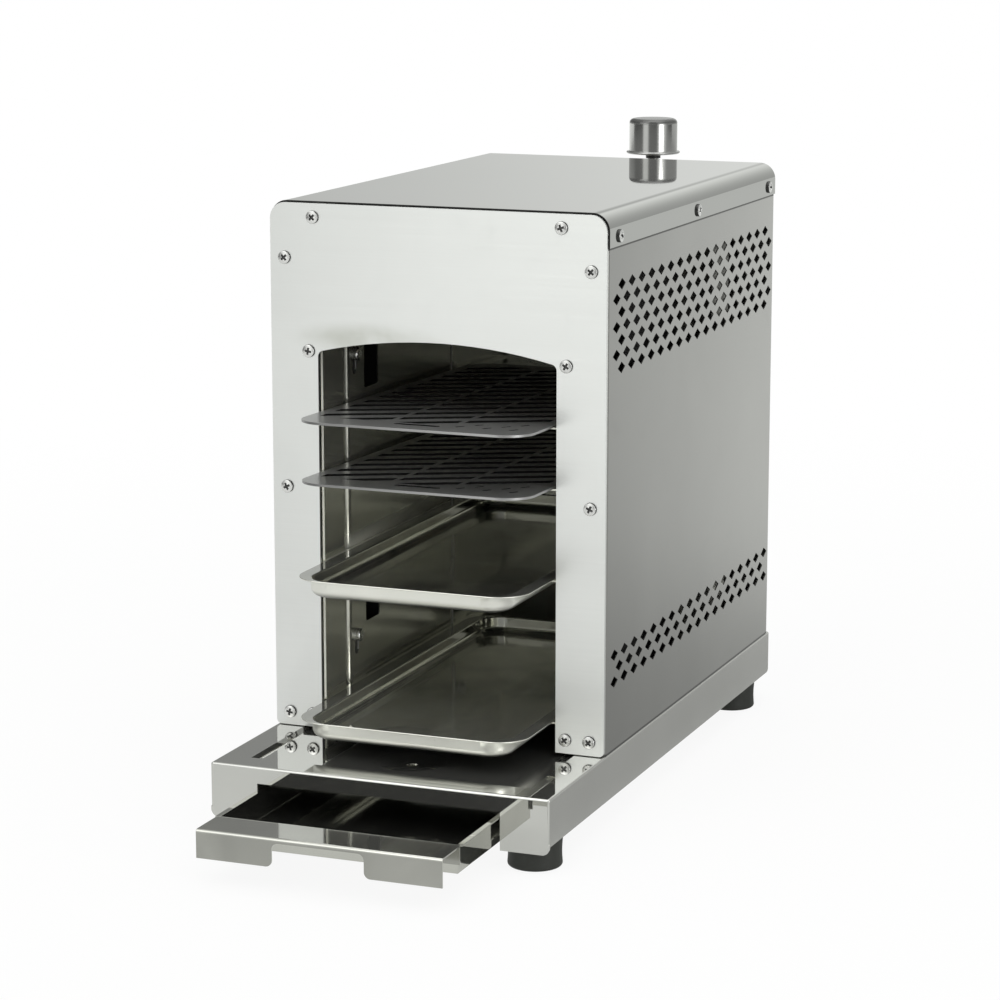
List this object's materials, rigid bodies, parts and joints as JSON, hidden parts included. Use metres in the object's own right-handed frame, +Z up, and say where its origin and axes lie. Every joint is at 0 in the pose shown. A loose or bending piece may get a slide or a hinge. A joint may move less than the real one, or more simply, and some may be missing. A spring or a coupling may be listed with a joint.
{
  "type": "overhead gas grill",
  "caption": "Compact table-top grill with an overhead gas burner: perforated steel housing on a flat base, slide-in racks and trays, drip drawer and rear control knob.",
  "frame": {"origin": "on the ground under the middle of the overall box", "axes": "+X to the right seen from the front, +Y towards the back where the knob stands, +Z up; the drawer and the shelves come out towards -Y"},
  "size_m": [0.2252, 0.609, 0.4026],
  "materials": {
    "front_steel": "fine horizontal brushing, bright",
    "side_steel": "satin, mid grey",
    "hood_steel": "polished, mirror-like",
    "base_steel": "polished",
    "chamber_steel": "polished, darker inside the chamber",
    "burner_steel": "plain mill finish",
    "ceramic": "matt porous ceramic",
    "rack_steel": "satin",
    "tray_steel": "polished",
    "drawer_steel": "polished",
    "screw_steel": "bright",
    "rubber": "matt black",
    "valve_metal": "cast, satin",
    "brass": "turned",
    "knob_chrome": "bright, spun",
    "knob_core": "black",
    "black_plastic": "black",
    "probe_steel": "plain",
    "lead_cover": "black"
  },
  "bodies": {
    "housing": {"front_panel": "front_steel", "side_panel_right": "side_steel", "side_panel_left": "side_steel", "rear_panel": "side_steel", "hood": "hood_steel", "base_shell": "base_steel", "front_post_right": "chamber_steel", "front_post_left": "chamber_steel", "front_header": "chamber_steel", "inner_wall_right": "chamber_steel", "inner_wall_left": "chamber_steel", "wall_strips_right": "chamber_steel", "wall_strips_left": "chamber_steel", "wall_stays_right": "chamber_steel", "wall_stays_left": "chamber_steel", "inner_rear_wall": "chamber_steel", "chamber_roof": "chamber_steel", "shelf_rails_right": "chamber_steel", "shelf_rails_left": "chamber_steel", "drawer_runner_right": "chamber_steel", "drawer_runner_left": "chamber_steel", "burner_housing": "burner_steel", "burner_hangers": "burner_steel", "mixer_tube": "burner_steel", "probe_bracket": "burner_steel", "valve_bracket": "burner_steel", "ceramic_tiles": "ceramic", "front_panel_screws": "screw_steel", "hood_screws": "screw_steel", "rear_screws": "screw_steel", "base_screws": "screw_steel", "foot_screws": "screw_steel", "bracket_screws": "screw_steel", "inner_wall_bolts": "screw_steel", "foot_front_right": "rubber", "foot_front_left": "rubber", "foot_rear_right": "rubber", "foot_rear_left": "rubber", "valve_body": "valve_metal", "gas_jet": "brass", "inlet_fitting": "brass", "piezo_box": "black_plastic", "spark_electrode": "probe_steel", "flame_probe": "probe_steel", "ignition_lead": "lead_cover", "flame_probe_lead": "lead_cover"},
    "upper_rack": {"upper_rack": "rack_steel"},
    "lower_rack": {"lower_rack": "rack_steel"},
    "upper_tray": {"upper_tray": "tray_steel"},
    "lower_tray": {"lower_tray": "tray_steel"},
    "drawer": {"drip_drawer": "drawer_steel", "drawer_handle": "drawer_steel"},
    "knob_push": {"push_collar": "valve_metal"},
    "knob": {"knob_cap": "knob_chrome", "knob_hub": "knob_core", "valve_spindle": "valve_metal"}
  },
  "joints": [
    {"name": "upper_rack_slide", "type": "slide", "parent": "housing", "child": "upper_rack", "axis": [0, -0.9997, 0.0262], "range_m": [-0.045, 0.15]},
    {"name": "lower_rack_slide", "type": "slide", "parent": "housing", "child": "lower_rack", "axis": [0, -0.9997, 0.0262], "range_m": [-0.045, 0.15]},
    {"name": "upper_tray_slide", "type": "slide", "parent": "housing", "child": "upper_tray", "axis": [0, -1, 0], "range_m": [-0.052, 0.15]},
    {"name": "lower_tray_slide", "type": "slide", "parent": "housing", "child": "lower_tray", "axis": [0, -1, 0], "range_m": [-0.052, 0.15]},
    {"name": "drawer_slide", "type": "slide", "parent": "housing", "child": "drawer", "axis": [0, -1, 0], "range_m": [-0.056, 0.12]},
    {"name": "knob_press", "type": "slide", "parent": "housing", "child": "knob_push", "axis": [0, 0, -1], "range_m": [0, 0.003], "stiffness_N_per_m": 1500, "springref_m": -0.002},
    {"name": "knob_turn", "type": "hinge", "parent": "knob_push", "child": "knob", "pos_m": [0, 0.2852, 0.377], "axis": [0, 0, 1], "range_deg": [0, 180]}
  ]
}
